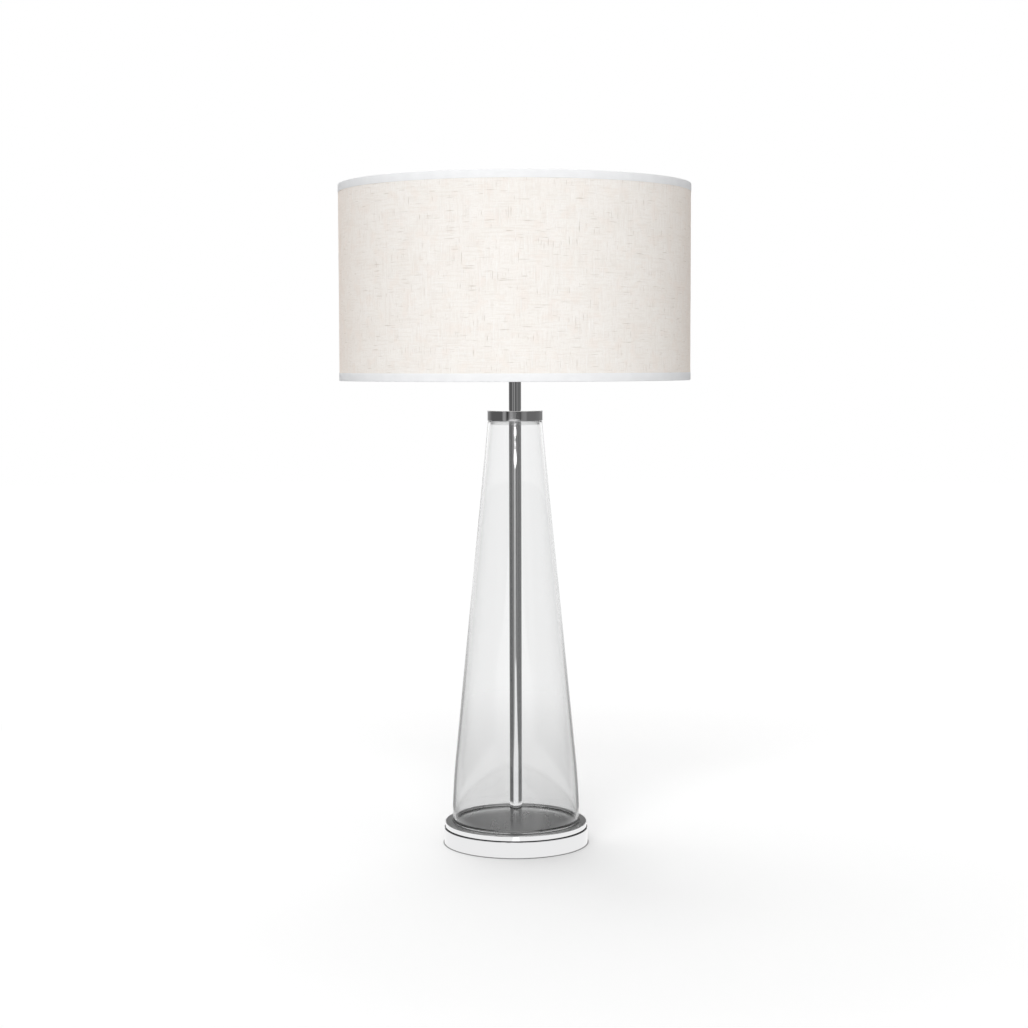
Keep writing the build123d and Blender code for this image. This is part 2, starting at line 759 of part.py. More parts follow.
with BuildPart() as bulb_insulator:
    with BuildSketch(Plane.XZ):
        with BuildLine():
            Polyline(
                (0, bulb_bottom + bulb_tip_height),
                (bulb_tip_radius, bulb_bottom + bulb_tip_height),
                (bulb_insulator_radius, bulb_cap_bottom),
                (0, bulb_cap_bottom),
                close=True,
            )
        make_face()
    revolve(axis=Axis.Z)
bulb_insulator.part.label = "bulb_insulator"
export_step(bulb_insulator.part, "parts/bulb_insulator.step")

with BuildPart() as bulb_cap:
    with BuildSketch(Plane.XY.offset(bulb_cap_bottom)):
        Circle(bulb_cap_radius)
    extrude(amount=bulb_cap_height)
    chamfer(bulb_cap.edges().group_by(Axis.Z)[0], bulb_cap_radius - bulb_insulator_radius)
bulb_cap.part.label = "bulb_cap"
export_step(bulb_cap.part, "parts/bulb_cap.step")

# The housing widens from the neck and meets the globe flush, close to the globe's own slope.
globe_base_z = bulb_cap_top + bulb_housing_height
globe_drop = globe_centre - globe_base_z
globe_base_radius = (bulb_globe_radius**2 - globe_drop**2) ** 0.5
with BuildPart() as bulb_housing:
    with BuildSketch(Plane.XZ):
        with BuildLine():
            Polyline(
                (bulb_neck_radius, bulb_cap_top),
                (globe_base_radius, globe_base_z),
                (0, globe_base_z),
                (0, bulb_cap_top),
                close=True,
            )
        make_face()
    revolve(axis=Axis.Z)
bulb_housing.part.label = "bulb_housing"
export_step(bulb_housing.part, "parts/bulb_housing.step")

inner_globe_radius = bulb_globe_radius - bulb_globe_wall
with BuildPart() as bulb_globe:
    with Locations((0, 0, globe_centre)):
        Sphere(bulb_globe_radius)
        Sphere(inner_globe_radius, mode=Mode.SUBTRACT)
    split(bisect_by=Plane.XY.offset(globe_base_z), keep=Keep.TOP)
bulb_globe.part.label = "bulb_globe"
export_step(bulb_globe.part, "parts/bulb_globe.step")
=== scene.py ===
from math import atan2, cos, pi, radians, sin, tan

import bmesh
import bpy
from mathutils import Euler, Matrix, Vector


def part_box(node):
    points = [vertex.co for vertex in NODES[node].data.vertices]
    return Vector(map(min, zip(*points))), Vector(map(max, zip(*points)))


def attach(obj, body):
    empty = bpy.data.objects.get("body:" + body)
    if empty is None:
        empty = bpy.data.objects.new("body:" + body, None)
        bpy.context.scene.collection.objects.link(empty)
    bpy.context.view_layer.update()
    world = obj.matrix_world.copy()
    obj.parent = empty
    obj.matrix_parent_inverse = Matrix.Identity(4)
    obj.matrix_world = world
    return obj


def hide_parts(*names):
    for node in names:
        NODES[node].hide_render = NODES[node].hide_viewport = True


# A glass-cone table lamp with a linen drum shade. Metres, +Z up, the camera on the -Y side.
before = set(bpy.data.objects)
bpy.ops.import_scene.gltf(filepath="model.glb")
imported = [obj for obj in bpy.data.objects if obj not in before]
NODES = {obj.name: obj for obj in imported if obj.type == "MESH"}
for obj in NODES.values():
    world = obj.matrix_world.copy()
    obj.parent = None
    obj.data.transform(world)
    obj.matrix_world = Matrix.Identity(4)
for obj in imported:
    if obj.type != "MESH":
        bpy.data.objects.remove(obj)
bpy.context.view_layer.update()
MM = 0.001


# ---------------------------------------------------------------- camera

IMAGE_SIDE = 1028                  # the photograph's side, in its own pixels
FOCAL_PIXELS = 2002.4
SENSOR = 36.0
CAMERA_PLACE = Vector((-0.0016, -2.5805, 0.6248))
CAMERA_DOWN = radians(4.328)
CAMERA_ROLL = radians(-0.141)
CLIP_NEAR, CLIP_FAR = 0.05, 60.0


def add_camera():
    data = bpy.data.cameras.new("camera")
    data.sensor_width = SENSOR
    data.lens = FOCAL_PIXELS * SENSOR / IMAGE_SIDE
    data.clip_start = CLIP_NEAR
    data.clip_end = CLIP_FAR
    camera = bpy.data.objects.new("camera", data)
    bpy.context.scene.collection.objects.link(camera)
    level = Euler((pi / 2 - CAMERA_DOWN, 0, 0)).to_matrix()
    rolled = level @ Matrix.Rotation(CAMERA_ROLL, 3, "Z")
    camera.matrix_world = Matrix.Translation(CAMERA_PLACE) @ rolled.to_4x4()
    bpy.context.scene.camera = camera


# ---------------------------------------------------------------- node graphs

class Graph:
    """A short way to write a node tree: each call adds one node and returns its output."""

    def __init__(self, tree):
        self.tree = tree
        tree.nodes.clear()

    def add(self, kind, out=0, operation=None, **inputs):
        """A node whose sockets are fed by name, with _ for a space, or by number as in0, in1."""
        node = self.tree.nodes.new(kind)
        if operation:
            node.operation = operation
        for key, value in inputs.items():
            self.feed(self.socket(node, key), value)
        return node.outputs[out] if len(node.outputs) else None

    def socket(self, node, key):
        if key.startswith("in") and key[2:].isdigit():
            return node.inputs[int(key[2:])]
        name = key.replace("_", " ").lower()
        return next(s for s in node.inputs if s.name.lower() == name)

    def feed(self, socket, value):
        if isinstance(value, bpy.types.NodeSocket):
            self.tree.links.new(value, socket)
        else:
            socket.default_value = value

    def math(self, operation, a, b=0.0, c=0.0):
        return self.add("ShaderNodeMath", operation=operation, in0=a, in1=b, in2=c)

    def plus(self, a, b):
        return self.math("ADD", a, b)

    def minus(self, a, b):
        return self.math("SUBTRACT", a, b)

    def times(self, a, b):
        return self.math("MULTIPLY", a, b)

    def apart(self, a, b):
        return self.math("ABSOLUTE", self.minus(a, b))

    def squares(self, a, b):
        return self.plus(self.times(a, a), self.times(b, b))

    def mix(self, factor, a, b):
        node = self.tree.nodes.new("ShaderNodeMix")
        node.data_type = "RGBA"
        for socket, value in ((node.inputs[0], factor), (node.inputs[6], a), (node.inputs[7], b)):
            self.feed(socket, value)
        return node.outputs[2]

    def band(self, value, low, high, low_out=0.0, high_out=1.0):
        """A smooth step from low_out to high_out as value goes from low to high."""
        node = self.tree.nodes.new("ShaderNodeMapRange")
        node.interpolation_type = "SMOOTHSTEP"
        self.tree.links.new(value, node.inputs[0])
        for i, number in enumerate((low, high, low_out, high_out)):
            node.inputs[i + 1].default_value = number
        return node.outputs[0]

    def noise(self, vector, scale, detail=2.0, rough=0.5):
        return self.add(
            "ShaderNodeTexNoise", Vector=vector, Scale=scale, Detail=detail, Roughness=rough,
        )

    def place(self):
        """The object's own coordinates, in metres."""
        return self.add("ShaderNodeTexCoord", out=3)

    def split(self, vector):
        node = self.tree.nodes.new("ShaderNodeSeparateXYZ")
        self.tree.links.new(vector, node.inputs[0])
        return node.outputs[0], node.outputs[1], node.outputs[2]

    def join(self, x, y, z):
        return self.add("ShaderNodeCombineXYZ", in0=x, in1=y, in2=z)

    def bump(self, height, distance, strength=1.0):
        return self.add("ShaderNodeBump", Height=height, Distance=distance, Strength=strength)

    def azimuth(self, x, y):
        """The angle round the lamp's axis, to the right of the camera's side."""
        return self.math("ARCTAN2", x, self.times(y, -1.0))

    def round_the_axis(self, radius):
        """Lengths round the lamp's axis and up it, in metres."""
        x, y, z = self.split(self.place())
        return self.times(self.azimuth(x, y), radius), z


def grey(level):
    return (level, level, level, 1.0)


def new_material(name):
    material = bpy.data.materials.new(name)
    material.use_nodes = True
    return material, Graph(material.node_tree)


def finish_material(graph, **inputs):
    shader = graph.add("ShaderNodeBsdfPrincipled", **inputs)
    graph.add("ShaderNodeOutputMaterial", in0=shader)


def dress(material, *names):
    for name in names:
        mesh = NODES[name].data
        mesh.materials.clear()
        mesh.materials.append(material)


# ---------------------------------------------------------------- studio: world, floor, lights

# Azimuths are in degrees, to the right of the camera's side. A pair of numbers is where a fade
# starts and where it ends. Heights in the world are the sine of an elevation. 1 is white.

AMBIENT = 0.38                     # the world as a lamp
ROOM_GREY = 0.11                   # the dim room that the metal mirrors
STRIPS = (                         # azimuth, width and brightness of what differs in that room
    (-45, 16, 0.21), (-32, 5, -0.075), (-16, 15, 0.22), (-3, 16, 0.115), (22, 5, -0.03),
    (38, 24, 0.12), (72, 60, 0.05), (118, 44, 0.06), (150, 60, 0.08), (-150, 60, 0.13),
)
STRIP_FADE = (0.2, 0.7)            # from the strip's middle, in shares of its width
CEILING, CEILING_BRIGHT = (0.5, 0.95), 0.5
SWEEP_AZIMUTH, SWEEP, SWEEP_BRIGHT = -8, (12, 30), 0.30    # the lit ground far in front
SWEEP_TOP = (-0.0295, -0.0290)
HORIZON, HORIZON_BRIGHT = (30, 60), 0.9          # a low glow behind the lamp
HORIZON_BOTTOM, HORIZON_TOP = (0.005, 0.012), (0.06, 0.12)
REAR, REAR_BRIGHT = (16, 36), 0.65               # the lit ground far behind the lamp
REAR_TOP = (-0.01, 0.0)
PANES_AZIMUTH = 2
PANES = (                          # a window's panes: elevation, half height and half width
    (-1.98, 0.15, 24.0), (-2.32, 0.035, 20.0), (-2.74, 0.25, 27.0),
)
PANE_FADE, PANE_BRIGHT = (0.6, 1.2), 2.0
IN_THE_WALL = (2.0, 1.1)           # glass surfaces passed by a ray mirrored in a wall, and leeway
BOTH_WALLS = 3.5                   # a ray that has passed more has gone through the whole cone


def near_azimuth(g, azimuth, centre, fade, level):
    away = g.apart(azimuth, radians(centre))
    return g.band(away, radians(fade[0]), radians(fade[1]), level, 0.0)


def behind_the_lamp(g, azimuth, fade, level):
    rear = g.minus(pi, g.math("ABSOLUTE", azimuth))
    return near_azimuth(g, rear, 0, fade, level)


def room_by_azimuth(g, azimuth):
    """Brightness of the dim room that metal mirrors, from a direction or a place on the floor."""
    room = ROOM_GREY
    for centre, width, level in STRIPS:
        fade = [width * share for share in STRIP_FADE]
        room = g.plus(room, near_azimuth(g, azimuth, centre, fade, level))
    return room


def sweep(g, azimuth):
    return near_azimuth(g, azimuth, SWEEP_AZIMUTH, SWEEP, SWEEP_BRIGHT)


def window(g, azimuth, height, room):
    """The room with the window's panes, each a soft oval."""
    for elevation, half_height, half_width in PANES:
        up = g.math("DIVIDE", g.minus(height, sin(radians(elevation))), radians(half_height))
        side = g.math("DIVIDE", g.minus(azimuth, radians(PANES_AZIMUTH)), radians(half_width))
        room = g.plus(room, g.band(g.squares(up, side), *PANE_FADE, PANE_BRIGHT, 0.0))
    return room


def ray_kinds(g):
    """How far a ray is plainly seen, mirrored by the metal, or mirrored inside the glass wall.

    The outer face of the glass counts with the metal.
    """
    ray = g.tree.nodes.new("ShaderNodeLightPath").outputs
    plain = g.math("MAXIMUM", ray["Is Camera Ray"], ray["Is Transmission Ray"])
    mirrored = g.math("MINIMUM", ray["Glossy Depth"], 1.0)
    in_glass = g.times(mirrored, g.math("COMPARE", ray["Transmission Depth"], *IN_THE_WALL))
    by_metal = g.minus(mirrored, in_glass)
    seen = g.times(plain, g.minus(1.0, mirrored))
    return seen, by_metal, in_glass


def add_world():
    """White behind the lamp; a dim room with a few soft upright strips where metal mirrors it."""
    world = bpy.data.worlds.new("studio")
    bpy.context.scene.world = world
    world.use_nodes = True
    g = Graph(world.node_tree)
    x, y, z = g.split(g.add("ShaderNodeTexCoord", out=0))
    azimuth = g.azimuth(x, y)
    room = g.plus(room_by_azimuth(g, azimuth), g.band(z, *CEILING, 0.0, CEILING_BRIGHT))
    room = g.plus(room, g.times(g.band(z, *SWEEP_TOP, 1.0, 0.0), sweep(g, azimuth)))
    low = g.times(g.band(z, *HORIZON_BOTTOM), g.band(z, *HORIZON_TOP, 1.0, 0.0))
    room = g.plus(room, g.times(behind_the_lamp(g, azimuth, HORIZON, HORIZON_BRIGHT), low))
    under = g.band(z, *REAR_TOP, 1.0, 0.0)
    room = g.plus(room, g.times(behind_the_lamp(g, azimuth, REAR, REAR_BRIGHT), under))
    room = window(g, azimuth, z, room)
    seen, by_metal, in_glass = ray_kinds(g)
    level = g.math("MAXIMUM", AMBIENT, g.math("MAXIMUM", seen, in_glass))
    level = g.times(level, g.minus(1.0, by_metal))
    level = g.plus(level, g.times(by_metal, room))
    background = g.add("ShaderNodeBackground", Color=g.join(level, level, level))
    g.add("ShaderNodeOutputWorld", in0=background)


# Pairs of lengths on the floor are in metres from the lamp's axis, unless X or Y is named.
FLOOR_RADIUS = 8.0
FLOOR_SIDES = 96
# Painted shadow: a thin ring of floor round the plinth's foot is darkened to stand for the contact
# shadow.
CONTACT_SHADOW_WIDTH, CONTACT_SHADOW_TONE = 2.5 * MM, 0.30     # the line where the plinth meets the floor
# Painted shade: near the lamp, the floor seen through both walls of the glass is darkened.
PAINTED_DIM_REACH, PAINTED_DIM_DEPTH = (0.55, 1.4), (0.16, 0.05)    # what is seen through the glass
SHADOW, SHADOW_SHARE = (0.55, 1.21), 0.95        # where the lamps light it, and show the shadow
FLOOR_WHITE, FLOOR_GIVES = 1.01, 0.99            # its own light, and what makes way for theirs
FLOOR_BOUNCE = 0.55                              # for rays that only carry light
TABLE = (0.215, 0.255)                           # the white table that the metal mirrors
TABLE_LEFT, TABLE_RIGHT = (-0.40, -0.30), (0.41, 0.51)     # X
TABLE_FRONT = (-1.70, -1.45)                     # Y
TABLE_AZIMUTH, TABLE_SPREAD = 3, (34, 56)
SPOT_AHEAD, SPOT_BRIGHT = -0.200, 0.35           # Y of a small bright place on that table
SPOT_DEPTH, SPOT_WIDTH = (0.0154, 0.0286), (0.009, 0.018)  # from its middle, along Y and X
IN_GLASS, IN_GLASS_GREY = (0.8, 4.0), 0.45       # the floor as the glass wall mirrors it


def table_shape(g, x, y, azimuth, away):
    """1 on the part of the floor that the metal mirrors as a white table, 0 off it."""
    across = g.times(g.band(x, *TABLE_LEFT), g.band(x, *TABLE_RIGHT, 1.0, 0.0))
    ahead = g.times(
        g.band(y, *TABLE_FRONT), near_azimuth(g, azimuth, TABLE_AZIMUTH, TABLE_SPREAD, 1.0),
    )
    near = g.band(away, *TABLE, 1.0, 0.0)
    return g.math("MAXIMUM", g.times(across, ahead), near)


def floor_in_metal(g, x, y, azimuth, away):
    """Brightness of the floor where metal mirrors it: the table, its bright place and the room."""
    room = g.plus(room_by_azimuth(g, azimuth), sweep(g, azimuth))
    room = g.plus(room, behind_the_lamp(g, azimuth, REAR, REAR_BRIGHT))
    lit = g.plus(room, g.times(table_shape(g, x, y, azimuth, away), g.minus(1.0, room)))
    spot = g.times(
        g.band(g.math("ABSOLUTE", x), *SPOT_WIDTH, SPOT_BRIGHT, 0.0),
        g.band(g.apart(y, SPOT_AHEAD), *SPOT_DEPTH, 1.0, 0.0),
    )
    return g.plus(lit, spot)


def add_floor():
    """White to the eye but for the lamp's soft shadow, a painted contact shadow round the plinth
    and painted shade behind the glass; in the metal, a table in a dim room.
    """
    mesh = bpy.data.meshes.new("floor")
    bm = bmesh.new()
    bmesh.ops.create_circle(bm, cap_ends=True, segments=FLOOR_SIDES, radius=FLOOR_RADIUS)
    bm.to_mesh(mesh)
    bm.free()
    floor = bpy.data.objects.new("floor", mesh)
    bpy.context.scene.collection.objects.link(floor)
    material, g = new_material("floor")
    x, y = g.split(g.place())[:2]
    azimuth = g.azimuth(x, y)
    away = g.math("SQRT", g.squares(x, y))

    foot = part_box("base_plinth")[1][0]
    # Painted contact shadow round the plinth's foot.
    painted_contact_shadow = g.band(away, foot, foot + CONTACT_SHADOW_WIDTH, CONTACT_SHADOW_TONE, 1.0)
    # Painted shade: the floor seen through both glass walls is darker near the lamp.
    passed = g.add("ShaderNodeLightPath", out="Transmission Depth")
    painted_dim_behind_glass = g.times(
        g.math("GREATER_THAN", passed, BOTH_WALLS), g.band(away, *PAINTED_DIM_REACH, *PAINTED_DIM_DEPTH),
    )
    # tone carries both pieces of painted shade into the floor's own light and into its lit share.
    tone = g.times(painted_contact_shadow, g.minus(1.0, painted_dim_behind_glass))
    keeps = g.band(away, *SHADOW, SHADOW_SHARE, 0.0)
    white = g.times(tone, g.minus(FLOOR_WHITE, g.times(keeps, FLOOR_GIVES)))

    seen, by_metal, in_glass = ray_kinds(g)
    mirrored = g.times(by_metal, floor_in_metal(g, x, y, azimuth, away))
    shown = g.plus(g.times(seen, white), mirrored)
    shown = g.plus(shown, g.times(in_glass, g.band(away, *IN_GLASS, IN_GLASS_GREY, 1.0)))
    share = g.times(seen, g.minus(g.times(keeps, tone), FLOOR_BOUNCE))
    share = g.plus(FLOOR_BOUNCE, share)
    share = g.times(share, g.minus(1.0, g.plus(by_metal, in_glass)))
    body = g.add("ShaderNodeBsdfDiffuse", Color=g.join(share, share, share))
    glow = g.add("ShaderNodeEmission", Color=grey(1.0), Strength=shown)
    g.add("ShaderNodeOutputMaterial", in0=g.add("ShaderNodeAddShader", in0=body, in1=glow))
    mesh.materials.append(material)


SUNS = (                           # azimuth, elevation and spread in degrees, and power
    ("front", -9, 22, 50, 2.0),
    ("fill", 50, 20, 60, 0.22),
    ("top", -150, 68, 40, 1.0),
    ("rear", 172, 24, 60, 0.45),
)
SUN_AWAY = 3.0


def add_lights():
    """Broad, even lamps that metal and glass don't show."""
    for name, azimuth, elevation, spread, power in SUNS:
        data = bpy.data.lights.new(name, "SUN")
        data.energy = power
        data.angle = radians(spread)
        light = bpy.data.objects.new(name, data)
        bpy.context.scene.collection.objects.link(light)
        a, e = radians(azimuth), radians(elevation)
        towards = Vector((cos(e) * sin(a), -cos(e) * cos(a), sin(e)))
        light.location = towards * SUN_AWAY
        light.rotation_mode = "QUATERNION"
        light.rotation_quaternion = towards.to_track_quat("Z", "Y")
        light.visible_glossy = False
        light.visible_transmission = False


# ---------------------------------------------------------------- turned meshes

ON_THE_AXIS = 1e-6                 # metres, as in the next two
SAME_RADIUS = 1e-7
NO_LENGTH = 1e-9
NEARLY_STRAIGHT = radians(85)      # half a corner's angle, over which it isn't rounded
MOST_OF_AN_EDGE = 0.49             # that one corner's rounding may take


def new_piece(name, bm, body, node, material, sharp):
    """Turns a bmesh into a named piece of the lamp that replaces a CAD node."""
    bmesh.ops.recalc_face_normals(bm, faces=bm.faces)
    mesh = bpy.data.meshes.new(name)
    bm.to_mesh(mesh)
    bm.free()
    mesh.polygons.foreach_set("use_smooth", [True] * len(mesh.polygons))
    mesh.set_sharp_from_angle(angle=radians(sharp))
    mesh.materials.append(material)
    piece = bpy.data.objects.new(name, mesh)
    bpy.context.scene.collection.objects.link(piece)
    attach(piece, body)
    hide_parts(node)
    return piece


def lathe(profile, segments, radius_at):
    """A bmesh of a closed profile of (radius, height) points turned about the lamp's axis."""
    bm = bmesh.new()
    rings = []
    for radius, height in profile:
        if radius < ON_THE_AXIS:
            rings.append([bm.verts.new((0, 0, height))] * segments)
            continue
        ring = []
        for i in range(segments):
            angle = 2 * pi * i / segments
            r = radius_at(radius, height, angle) if radius_at else radius
            ring.append(bm.verts.new((r * cos(angle), r * sin(angle), height)))
        rings.append(ring)
    for low, high in zip(rings, rings[1:] + rings[:1]):
        for i in range(segments):
            j = (i + 1) % segments
            corners = []
            for vert in (low[i], low[j], high[j], high[i]):
                if vert not in corners:
                    corners.append(vert)
            if len(corners) > 2:
                bm.faces.new(corners)
    return bm


def turned(name, node, body, material, profile, segments, sharp, radius_at=None):
    return new_piece(name, lathe(profile, segments, radius_at), body, node, material, sharp)


def rounded(points, steps):
    """Rounds each corner given as (radius, height, rounding); one without a rounding stays."""
    out = []
    for i, point in enumerate(points):
        here = Vector(point[:2])
        size = point[2] if len(point) > 2 else 0.0
        before = Vector(points[i - 1][:2]) - here
        after = Vector(points[(i + 1) % len(points)][:2]) - here
        if size <= 0 or before.length < NO_LENGTH or after.length < NO_LENGTH:
            out.append(tuple(here))
            continue
        half = before.angle(after) / 2
        if half > NEARLY_STRAIGHT:
            out.append(tuple(here))
            continue
        cut = size / max(NO_LENGTH, tan(half))
        cut = min(cut, MOST_OF_AN_EDGE * before.length, MOST_OF_AN_EDGE * after.length)
        first = here + before.normalized() * cut
        last = here + after.normalized() * cut
        for k in range(steps + 1):
            t = k / steps
            out.append(tuple(first * (1 - t) ** 2 + here * 2 * t * (1 - t) + last * t * t))
    return out


def smooth(share):
    """A smooth step from 0 to 1."""
    t = max(0.0, min(1.0, share))
    return t * t * (3 - 2 * t)


def reach_of(node):
    """A round node's outer radius, lowest and highest height."""
    low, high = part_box(node)
    return high[0], low[2], high[2]


def thread(crest, pitch, depth, wall):
    """A radius rule for lathe: a rounded screw thread cut into the wall at the crest radius."""
    low, high = wall[0][1], wall[-1][1]

    def radius_at(radius, height, angle):
        if abs(radius - crest) > SAME_RADIUS or not low < height < high:
            return radius
        fade = min(1.0, (height - low) / pitch, (high - height) / pitch)
        turn = 2 * pi * height / pitch - angle
        return radius - depth * fade * (0.5 - 0.5 * cos(turn))
    return radius_at


def upright(radius, low, high, step):
    """Points up a straight wall, one for each step of height, both ends included."""
    count = max(1, round((high - low) / step))
    return [(radius, low + (high - low) * k / count) for k in range(count + 1)]


# ---------------------------------------------------------------- glass cone

GLASS_WALL = 3.0 * MM
GLASS_FLARE = radians(5.66)
KNEE_HEIGHT, KNEE_STEPS = 85.0 * MM, 16
BEAD, BEAD_HEIGHT = 2.2 * MM, 5.0 * MM           # the wall is this much thicker at its foot
BEAD_RINGS = (1.2, 1.8, 2.4, 3.0, 3.6, 4.2)      # millimetres above the foot
END_RING, FOOT_RING = 4.0 * MM, 2.0 * MM         # rings near the ends keep the shading even
LIP_ROUND, FOOT_ROUND_INSIDE, FOOT_ROUND = 0.9 * MM, 0.8 * MM, 1.2 * MM


def glass_wall(height):
    return GLASS_WALL + BEAD * smooth(1.0 - height / BEAD_HEIGHT)


def add_glass(material):
    """The cone: an upright foot that bends in through a long knee to a straight flare."""
    foot, bottom, top = reach_of("glass_cone")
    bend = KNEE_HEIGHT / sin(GLASS_FLARE)
    outer = []
    for k in range(KNEE_STEPS + 1):
        angle = GLASS_FLARE * k / KNEE_STEPS
        outer.append((foot - bend * (1 - cos(angle)), bottom + bend * sin(angle)))
    knee, knee_z = outer[-1]
    for z in (knee_z + END_RING, (knee_z + top) / 2, top - END_RING, top):
        outer.append((knee - (z - knee_z) * tan(GLASS_FLARE), z))
    outer.insert(1, (foot, bottom + FOOT_RING))
    inner = [(r - glass_wall(z - bottom), z) for r, z in outer]
    inner[1:2] = [(foot - glass_wall(k * MM), bottom + k * MM) for k in BEAD_RINGS]
    profile = outer[1:-1] + [(*outer[-1], LIP_ROUND), (*inner[-1], LIP_ROUND)]
    profile += inner[-2:0:-1] + [(*inner[0], FOOT_ROUND_INSIDE), (*outer[0], FOOT_ROUND)]
    turned("glass_body", "glass_cone", "stand", material,
           rounded(profile, 6), segments=320, sharp=60.0)


# ---------------------------------------------------------------- shade

LINEN_THICK = 0.42 * MM
LINEN_COLUMNS, LINEN_ROWS = 300, 24
LAP_WIDTH, LAP_RISE = 12.0 * MM, 0.4 * MM        # the lap stands out from the sheet under it
RISE_FROM, RISE_OVER = 1.25, 0.5                 # laps before the end, and laps long
WAVE, WAVES_ROUND, WAVES_UP = 0.12 * MM, 9.0, 30.0

TAPE_WIDTH, TAPE_INNER_WIDTH, TAPE_THICK = 10.0 * MM, 6.0 * MM, 0.4 * MM
TAPE_CROWN = 0.05 * MM
WIRE_ACROSS, WIRE_ROOM = 3.5 * MM, 0.3 * MM


def linen_skin(radius, bottom, top, lap):
    """Columns of vertex places over one side of the sheet, from its start to its lapped end."""
    grid = []
    for i in range(LINEN_COLUMNS + 1):
        turn = -lap / 2 + (2 * pi + lap) * i / LINEN_COLUMNS
        out = LAP_RISE * smooth((turn - (2 * pi - RISE_FROM * lap)) / (RISE_OVER * lap))
        angle = pi / 2 + turn
        column = []
        for j in range(LINEN_ROWS + 1):
            z = bottom + (top - bottom) * j / LINEN_ROWS
            ripple = WAVE * sin(turn * WAVES_ROUND + z * WAVES_UP) * sin(pi * j / LINEN_ROWS)
            r = radius + out + min(0.0, ripple)
            column.append((r * cos(angle), r * sin(angle), z))
        grid.append(column)
    return grid


def add_linen(material):
    """The fabric: one thin sheet round the shade, whose end laps over its start at the rear."""
    radius, bottom, top = reach_of("shade_fabric")
    lap = LAP_WIDTH / radius
    bm = bmesh.new()
    outer, inner = (
        [[bm.verts.new(place) for place in column] for column in linen_skin(r, bottom, top, lap)]
        for r in (radius, radius - LINEN_THICK)
    )
    end = LINEN_ROWS
    for i in range(LINEN_COLUMNS):
        for j in range(LINEN_ROWS):
            bm.faces.new((outer[i][j], outer[i + 1][j], outer[i + 1][j + 1], outer[i][j + 1]))
            bm.faces.new((inner[i][j], inner[i][j + 1], inner[i + 1][j + 1], inner[i + 1][j]))
        bm.faces.new((outer[i][0], inner[i][0], inner[i + 1][0], outer[i + 1][0]))
        bm.faces.new((outer[i][end], outer[i + 1][end], inner[i + 1][end], inner[i][end]))
    for j in range(LINEN_ROWS):
        bm.faces.new((outer[0][j], outer[0][j + 1], inner[0][j + 1], inner[0][j]))
        bm.faces.new((outer[-1][j], inner[-1][j], inner[-1][j + 1], outer[-1][j + 1]))
    piece = new_piece("linen_drum", bm, "shade", "shade_fabric", material, 50.0)


def add_tape(name, node, wire_node, material, up):
    """A ribbon folded over the rim, its outer face slightly crowned and its fold round."""
    radius, bottom, top = reach_of(node)
    rim = top if up else bottom
    away = -1.0 if up else 1.0
    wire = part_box(wire_node)[1][0]
    inner = wire - WIRE_ACROSS - WIRE_ROOM - TAPE_THICK
    profile = [
        (radius - TAPE_THICK, rim + away * TAPE_WIDTH),
        (radius - TAPE_CROWN, rim + away * TAPE_WIDTH, 0.15 * MM),
        (radius, rim + away * TAPE_WIDTH * 0.5),
        (radius - 2 * TAPE_CROWN, rim, 0.9 * MM),
        (inner, rim, 0.9 * MM),
        (inner, rim + away * TAPE_INNER_WIDTH, 0.1 * MM),
        (inner + TAPE_THICK, rim + away * TAPE_INNER_WIDTH, 0.1 * MM),
        (inner + TAPE_THICK, rim + away * TAPE_THICK, 0.5 * MM),
        (radius - TAPE_THICK, rim + away * TAPE_THICK, 0.4 * MM),
    ]
    piece = turned(name, node, "shade", material,
                   rounded(profile, 5), segments=300, sharp=40.0)


def add_wire_ring(name, node, material):
    radius, bottom, top = reach_of(node)
    wire = (top - bottom) / 2
    sides = 20
    profile = []
    for k in range(sides):
        angle = 2 * pi * k / sides
        profile.append((radius - wire + wire * cos(angle), bottom + wire + wire * sin(angle)))
    turned(name, node, "shade", material, profile, segments=256, sharp=60.0)


# ---------------------------------------------------------------- cap, bulb and lampholder

THREAD_STEP = 0.3 * MM             # between the rings of a wall with a screw thread


def add_cap(material):
    """The glass cone's cap: turned, with its two outer edges rounded to catch the light."""
    outer, bottom, top = reach_of("glass_cap")
    bore, seat, boss = 5.2 * MM, 8.2 * MM, 12.0 * MM
    rim = outer - 5.2 * MM
    deep = 1.0 * MM
    under = top - 3.0 * MM
    ring = 2.0 * MM                # from each edge to a ring that keeps its rounding crisp
    profile = [
        (bore, bottom + deep), (seat, bottom + deep), (seat, bottom), (boss, bottom),
        (boss, under), (rim, under), (rim, bottom), (outer, bottom, 0.7 * MM),
        (outer, bottom + ring), (outer, top - ring), (outer, top, 0.8 * MM),
        (outer - ring, top), (seat, top), (seat, top - deep), (bore, top - deep),
    ]
    turned("cap_cover", "glass_cap", "stand", material,
           rounded(profile, 5), segments=256, sharp=35.0)


def add_bulb_screw(material):
    outer, bottom, top = reach_of("bulb_cap")
    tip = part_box("bulb_insulator")[1][0]
    wall = upright(outer, bottom + 1.9 * MM, top - 1.6 * MM, THREAD_STEP)
    profile = [(0.0, bottom), (tip, bottom)] + wall
    profile += [(outer, top - 1.2 * MM), (outer - 0.3 * MM, top), (0.0, top)]
    turned("bulb_screw", "bulb_cap", "bulb", material, profile,
           segments=96, sharp=60.0, radius_at=thread(outer, 3.6 * MM, 0.9 * MM, wall))


